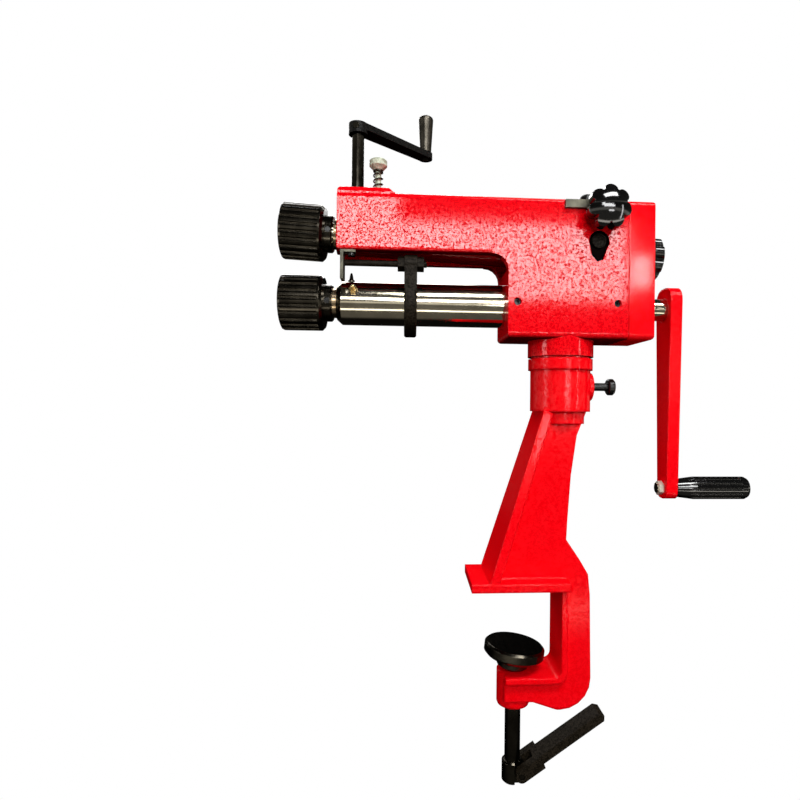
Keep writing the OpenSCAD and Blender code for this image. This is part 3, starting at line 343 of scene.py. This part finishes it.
# fine rings or lines left by machining, drawn out across the cutting direction
def machinedGroup(v):
    tree, gin, gout = newGroup(
        "machined",
        [("Stretch", "NodeSocketVector", v["stretch"]), ("Spots", "NodeSocketFloat", v["spots"])],
        [("Lines", "NodeSocketFloat"), ("Cloud", "NodeSocketFloat")])
    link = tree.links.new
    coord = addNode(tree, "ShaderNodeTexCoord")
    stretch = addNode(tree, "ShaderNodeVectorMath", operation="MULTIPLY")
    link(coord.outputs["Object"], stretch.inputs[0])
    link(gin.outputs["Stretch"], stretch.inputs[1])
    lines = addNode(tree, "ShaderNodeTexNoise")
    lines.inputs["Scale"].default_value = 1.0
    lines.inputs["Detail"].default_value = v["lineDetail"]
    link(stretch.outputs[0], lines.inputs["Vector"])
    cloud = addNode(tree, "ShaderNodeTexNoise")
    cloud.inputs["Detail"].default_value = v["cloudDetail"]
    link(coord.outputs["Object"], cloud.inputs["Vector"])
    link(gin.outputs["Spots"], cloud.inputs["Scale"])
    link(lines.outputs["Fac"], gout.inputs["Lines"])
    link(cloud.outputs["Fac"], gout.inputs["Cloud"])
    return tree


hammer = hammerGroup(hammerValues)
machined = machinedGroup(machinedValues)


def newMaterial(name):
    mat = bpy.data.materials.new(name)
    mat.use_nodes = True
    return mat, mat.node_tree, mat.node_tree.nodes["Principled BSDF"]


def placeGroup(tree, group, values):
    node = addNode(tree, "ShaderNodeGroup", node_tree=group)
    for key, value in values.items():
        node.inputs[key].default_value = value
    return node


edgeSamples = 4
metalEdge = 0.0005  # how far round a metal edge looks, in metres


# surface relief, over edges that look slightly rounded
def bumpFrom(tree, height, distance, bsdf, edge):
    bump = addNode(tree, "ShaderNodeBump")
    bump.inputs["Distance"].default_value = distance
    rounded = addNode(tree, "ShaderNodeBevel", samples=edgeSamples)
    rounded.inputs["Radius"].default_value = edge
    tree.links.new(rounded.outputs["Normal"], bump.inputs["Normal"])
    tree.links.new(height, bump.inputs["Height"])
    tree.links.new(bump.outputs["Normal"], bsdf.inputs["Normal"])
    tree.links.new(rounded.outputs["Normal"], bsdf.inputs["Coat Normal"])


# the inside of a round-ended pocket, which gets painted shade: a capsule in X and Z, between the face's Y and
# the floor's Y
def pocketShadeMask(tree, v):
    coord = addNode(tree, "ShaderNodeTexCoord")
    split = addNode(tree, "ShaderNodeSeparateXYZ")
    tree.links.new(coord.outputs["Object"], split.inputs[0])
    (x0, z0), (x1, z1) = v["from"], v["to"]
    length = math.hypot(x1 - x0, z1 - z0)
    ux, uz = (x1 - x0) / length, (z1 - z0) / length
    dx = mathNode(tree, "SUBTRACT", split.outputs["X"], x0)
    dz = mathNode(tree, "SUBTRACT", split.outputs["Z"], z0)
    along = mathNode(tree, "ADD", mathNode(tree, "MULTIPLY", dx, ux), mathNode(tree, "MULTIPLY", dz, uz))
    along = mathNode(tree, "MINIMUM", mathNode(tree, "MAXIMUM", along, 0.0), length)
    ox = mathNode(tree, "SUBTRACT", dx, mathNode(tree, "MULTIPLY", along, ux))
    oz = mathNode(tree, "SUBTRACT", dz, mathNode(tree, "MULTIPLY", along, uz))
    away = mathNode(tree, "SQRT", mathNode(tree, "ADD", mathNode(tree, "MULTIPLY", ox, ox),
                                           mathNode(tree, "MULTIPLY", oz, oz)), 0.0)
    inside = mathNode(tree, "LESS_THAN", away, v["radius"])
    deep = mathNode(tree, "GREATER_THAN", split.outputs["Y"], v["face"])
    return mathNode(tree, "MULTIPLY", mathNode(tree, "MULTIPLY", inside, deep),
                    mathNode(tree, "LESS_THAN", split.outputs["Y"], v["floor"]))


# how far down a face looks, where the painted underside shade starts and where it is full
undersideShadeValues = {"from": -0.5, "to": -0.95}


# faces that look down, which get painted shade: a darker colour and no coat gloss
def undersideShadeMask(tree):
    shape = addNode(tree, "ShaderNodeNewGeometry")
    split = addNode(tree, "ShaderNodeSeparateXYZ")
    tree.links.new(shape.outputs["True Normal"], split.inputs[0])
    down = addNode(tree, "ShaderNodeMapRange", interpolation_type="SMOOTHSTEP")
    down.inputs["From Min"].default_value = undersideShadeValues["from"]
    down.inputs["From Max"].default_value = undersideShadeValues["to"]
    tree.links.new(split.outputs["Z"], down.inputs["Value"])
    return down.outputs["Result"]


# where the dark and the light colour stand on a finish's ramp
paintPlaces = (0.3, 0.7)
metalPlaces = (0.35, 0.65)
# a colour Mix node's sockets, which share their names with those of its other data types
mixFactor, mixFirst, mixSecond, mixResult = 0, 6, 7, 2


def paintMaterial(name, v):
    mat, tree, bsdf = newMaterial(name)
    link = tree.links.new
    group = placeGroup(tree, hammer, {"Scale": v["scale"], "Fine": v["fine"], "Uneven": v["uneven"]})
    # the pits take the dark colour and the flats the light one: painted shade in the pits
    colours = makeRamp(tree, [(paintPlaces[0], v["dark"]), (paintPlaces[1], v["light"])])
    link(group.outputs["Shade"], colours.inputs["Fac"])
    # down-facing faces take the 'under' colour, a painted shade
    undersideShaded = addNode(tree, "ShaderNodeMix", data_type="RGBA")
    undersideShaded.inputs[mixSecond].default_value = (*v.get("under", v["dark"]), 1)
    link(undersideShadeMask(tree), undersideShaded.inputs[mixFactor])
    link(colours.outputs["Color"], undersideShaded.inputs[mixFirst])
    shownColour = undersideShaded.outputs[mixResult]
    # the inside of the pocket is painted near black, a painted shade
    if "pocket" in v:
        pocketShaded = addNode(tree, "ShaderNodeMix", data_type="RGBA")
        pocketShaded.inputs[mixSecond].default_value = (*v["pocket"]["shade"], 1)
        link(pocketShadeMask(tree, v["pocket"]), pocketShaded.inputs[mixFactor])
        link(shownColour, pocketShaded.inputs[mixFirst])
        shownColour = pocketShaded.outputs[mixResult]
    link(shownColour, bsdf.inputs["Base Color"])
    bsdf.inputs["Roughness"].default_value = v["rough"]
    bsdf.inputs["Specular IOR Level"].default_value = v.get("deepGloss", 0.0)
    bsdf.inputs["Coat Roughness"].default_value = v["rough"]
    # the pits are duller than the paint round them
    shine = addNode(tree, "ShaderNodeMapRange")
    shine.inputs["To Min"].default_value = v["gloss"] * v["pitGloss"]
    shine.inputs["To Max"].default_value = v["gloss"]
    link(group.outputs["Shade"], shine.inputs["Value"])
    # down-facing faces lose their coat gloss, part of the painted underside shade
    above = mathNode(tree, "SUBTRACT", 1.0, undersideShadeMask(tree))
    shown = mathNode(tree, "MULTIPLY", shine.outputs["Result"], above)
    # the inside of the pocket loses its coat gloss, part of the painted pocket shade
    if "pocket" in v:
        outside = mathNode(tree, "SUBTRACT", 1.0, pocketShadeMask(tree, v["pocket"]))
        shown = mathNode(tree, "MULTIPLY", shown, outside)
    link(shown, bsdf.inputs["Coat Weight"])
    bumpFrom(tree, group.outputs["Height"], v["bump"], bsdf, v["edge"])
    return mat


def metalMaterial(name, v):
    mat, tree, bsdf = newMaterial(name)
    link = tree.links.new
    group = placeGroup(tree, machined, {"Stretch": v["stretch"], "Spots": v["spots"]})
    colours = makeRamp(tree, [(metalPlaces[0], v["dark"]), (metalPlaces[1], v["light"])])
    link(group.outputs["Cloud"], colours.inputs["Fac"])
    link(colours.outputs["Color"], bsdf.inputs["Base Color"])
    rough = addNode(tree, "ShaderNodeMapRange")
    rough.inputs["To Min"].default_value = v["rough"][0]
    rough.inputs["To Max"].default_value = v["rough"][1]
    link(group.outputs["Lines"], rough.inputs["Value"])
    link(rough.outputs["Result"], bsdf.inputs["Roughness"])
    bsdf.inputs["Metallic"].default_value = v["metal"]
    bumpFrom(tree, group.outputs["Lines"], v["bump"], bsdf, metalEdge)
    return mat


# finishes

paintValues = {
    "redHammer": {"scale": 520.0, "fine": 0.05, "uneven": 0.5, "dark": (0.60, 0.0, 0.003),
                  "light": (0.88, 0.001, 0.006), "rough": 0.08, "gloss": 1.0, "pitGloss": 0.04,
                  # 'under' is the colour of the painted shade on down-facing faces
                  "bump": 0.000006, "edge": 0.001, "under": (0.10, 0.0, 0.001),
                  # 'pocket' paints shade into the pivot pocket: near black and without gloss
                  "pocket": {"from": (0.0732, 0.3343), "to": (0.0700, 0.3230), "radius": 0.0125,
                             "face": -0.0322, "floor": -0.004, "shade": (0.006, 0.004, 0.004)}},
    "redSmooth": {"scale": 90.0, "fine": 0.02, "uneven": 0.5, "dark": (0.80, 0.0, 0.003),
                  "light": (0.86, 0.001, 0.006), "rough": 0.09, "gloss": 0.6, "pitGloss": 0.9,
                  "bump": 0.00002, "edge": 0.0015},
    "redStand": {"scale": 460.0, "fine": 0.05, "uneven": 1.0, "dark": (0.84, 0.0, 0.003),
                 "light": (0.94, 0.001, 0.006), "rough": 0.15, "gloss": 0.5, "pitGloss": 0.05,
                 "bump": 0.00002, "edge": 0.003},
    "blackPaint": {"scale": 500.0, "fine": 0.5, "uneven": 0.8, "dark": (0.003, 0.003, 0.003),
                   "light": (0.007, 0.0065, 0.006), "rough": 0.25, "gloss": 0.8, "pitGloss": 0.7,
                   "bump": 0.00005, "edge": 0.0008},
    "castBlack": {"scale": 500.0, "fine": 0.8, "uneven": 1.0, "dark": (0.006, 0.0045, 0.0025),
                  "light": (0.015, 0.011, 0.0065), "rough": 0.5, "gloss": 0.2, "pitGloss": 0.5,
                  "bump": 0.00006, "edge": 0.0012},
    "blackPlastic": {"scale": 900.0, "fine": 0.5, "uneven": 1.5, "dark": (0.0015, 0.0015, 0.0015),
                     "light": (0.003, 0.003, 0.003), "rough": 0.09, "gloss": 1.0, "pitGloss": 0.9,
                     "deepGloss": 0.3, "bump": 0.000002, "edge": 0.0006},
}

metalValues = {
    "blackOxide": {"stretch": (900.0, 40.0, 40.0), "spots": 70.0, "dark": (0.031, 0.027, 0.021),
                   "light": (0.064, 0.057, 0.044), "rough": (0.12, 0.26), "metal": 1.0, "bump": 0.000008},
    "polishedSteel": {"stretch": (1200.0, 30.0, 30.0), "spots": 40.0, "dark": (0.50, 0.45, 0.35),
                      "light": (0.64, 0.58, 0.46), "rough": (0.08, 0.16), "metal": 1.0, "bump": 0.000006},
    "dullSteel": {"stretch": (60.0, 60.0, 900.0), "spots": 90.0, "dark": (0.05, 0.048, 0.035),
                  "light": (0.11, 0.105, 0.075), "rough": (0.3, 0.45), "metal": 0.7, "bump": 0.00002},
    "zincPlate": {"stretch": (60.0, 60.0, 1200.0), "spots": 80.0, "dark": (0.55, 0.52, 0.42),
                  "light": (0.74, 0.71, 0.60), "rough": (0.3, 0.42), "metal": 0.45, "bump": 0.00001},
    "gripSteel": {"stretch": (900.0, 900.0, 40.0), "spots": 80.0, "dark": (0.07, 0.063, 0.05),
                  "light": (0.15, 0.135, 0.11), "rough": (0.25, 0.4), "metal": 1.0, "bump": 0.00001},
    "creamZinc": {"stretch": (60.0, 60.0, 1200.0), "spots": 300.0, "dark": (0.28, 0.30, 0.21),
                  "light": (0.60, 0.64, 0.50), "rough": (0.4, 0.55), "metal": 0.1, "bump": 0.00002},
    "brassTurned": {"stretch": (900.0, 60.0, 60.0), "spots": 60.0, "dark": (0.42, 0.29, 0.11),
                    "light": (0.70, 0.52, 0.24), "rough": (0.15, 0.3), "metal": 1.0, "bump": 0.00001},
    "bronzeBush": {"stretch": (1200.0, 40.0, 40.0), "spots": 60.0, "dark": (0.45, 0.33, 0.2),
                   "light": (0.66, 0.52, 0.36), "rough": (0.15, 0.3), "metal": 1.0, "bump": 0.00001},
}

finishes = {name: paintMaterial(name, v) for name, v in paintValues.items()}
finishes.update({name: metalMaterial(name, v) for name, v in metalValues.items()})

slotFinish = {
    "red_wrinkle": "redHammer", "red_smooth": "redStand", "black_oxide": "blackOxide",
    "polished_steel": "polishedSteel", "zinc": "zincPlate", "black_paint": "blackPaint",
    "black_plastic": "blackPlastic", "brass": "brassTurned", "bronze": "bronzeBush",
}
nodeFinish = {
    "gear_cover": "redSmooth", "lock_bar": "dullSteel", "gauge_bracket": "dullSteel",
    "gauge_plate": "castBlack", "gauge_nuts": "castBlack", "gauge_rod": "castBlack",
    "clamp_handle": "castBlack", "clamp_handle_pin": "blackOxide", "pivot_pins": "castBlack",
    "lift_bolt": "creamZinc", "adjust_grip": "gripSteel", "adjust_arm_pin": "blackOxide",
}
slotOf = {s["node"]: s["material_slot"] for s in frame["record"]["subparts"]}
for name, obj in nodes.items():
    finish = nodeFinish.get(name, slotFinish[slotOf[name]])
    obj.data.materials.clear()
    obj.data.materials.append(finishes[finish])
print("stage: materials")

# lift spring

springValues = {"turns": 6.0, "wire": 0.0016, "steps": 28, "sides": 10, "flatTurns": 0.75, "keep": 0.61}


# a round wire wound from the low corner to the high corner of a node's box
def coilPiece(name, low, high, v):
    centre = ((low[0] + high[0]) / 2, (low[1] + high[1]) / 2)
    radius = (high[0] - low[0] - v["wire"]) / 2
    thick = v["wire"] / 2
    count = int(v["turns"] * v["steps"])
    mesh = bmesh.new()
    rings = []
    for i in range(count + 1):
        turn = 2 * math.pi * v["turns"] * i / count
        # the end coils lie flat, as on a closed spring
        climbed = (i / count * v["turns"] - v["flatTurns"]) / (v["turns"] - 2 * v["flatTurns"])
        share = min(1.0, max(0.0, climbed))
        z = low[2] + thick + share * (high[2] - low[2] - v["wire"])
        ring = []
        for k in range(v["sides"]):
            a = 2 * math.pi * k / v["sides"]
            r = radius + thick * math.cos(a)
            ring.append(mesh.verts.new((centre[0] + r * math.cos(turn), centre[1] + r * math.sin(turn),
                                        z + thick * math.sin(a))))
        rings.append(ring)
    for first, second in zip(rings, rings[1:]):
        for k in range(v["sides"]):
            n = (k + 1) % v["sides"]
            mesh.faces.new((first[k], second[k], second[n], first[n]))
    mesh.faces.new(rings[0])
    mesh.faces.new(rings[-1][::-1])
    bmesh.ops.recalc_face_normals(mesh, faces=mesh.faces)
    data = bpy.data.meshes.new(name)
    mesh.to_mesh(data)
    mesh.free()
    for face in data.polygons:
        face.use_smooth = True
    obj = bpy.data.objects.new(name, data)
    scene.collection.objects.link(obj)
    return obj


springLow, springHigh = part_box("lift_spring")
spring = coilPiece("liftCoil", springLow, springHigh, springValues)
spring.data.materials.append(finishes["blackOxide"])
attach(spring, "head")
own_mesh(spring)
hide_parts("lift_spring")
print("stage: spring")
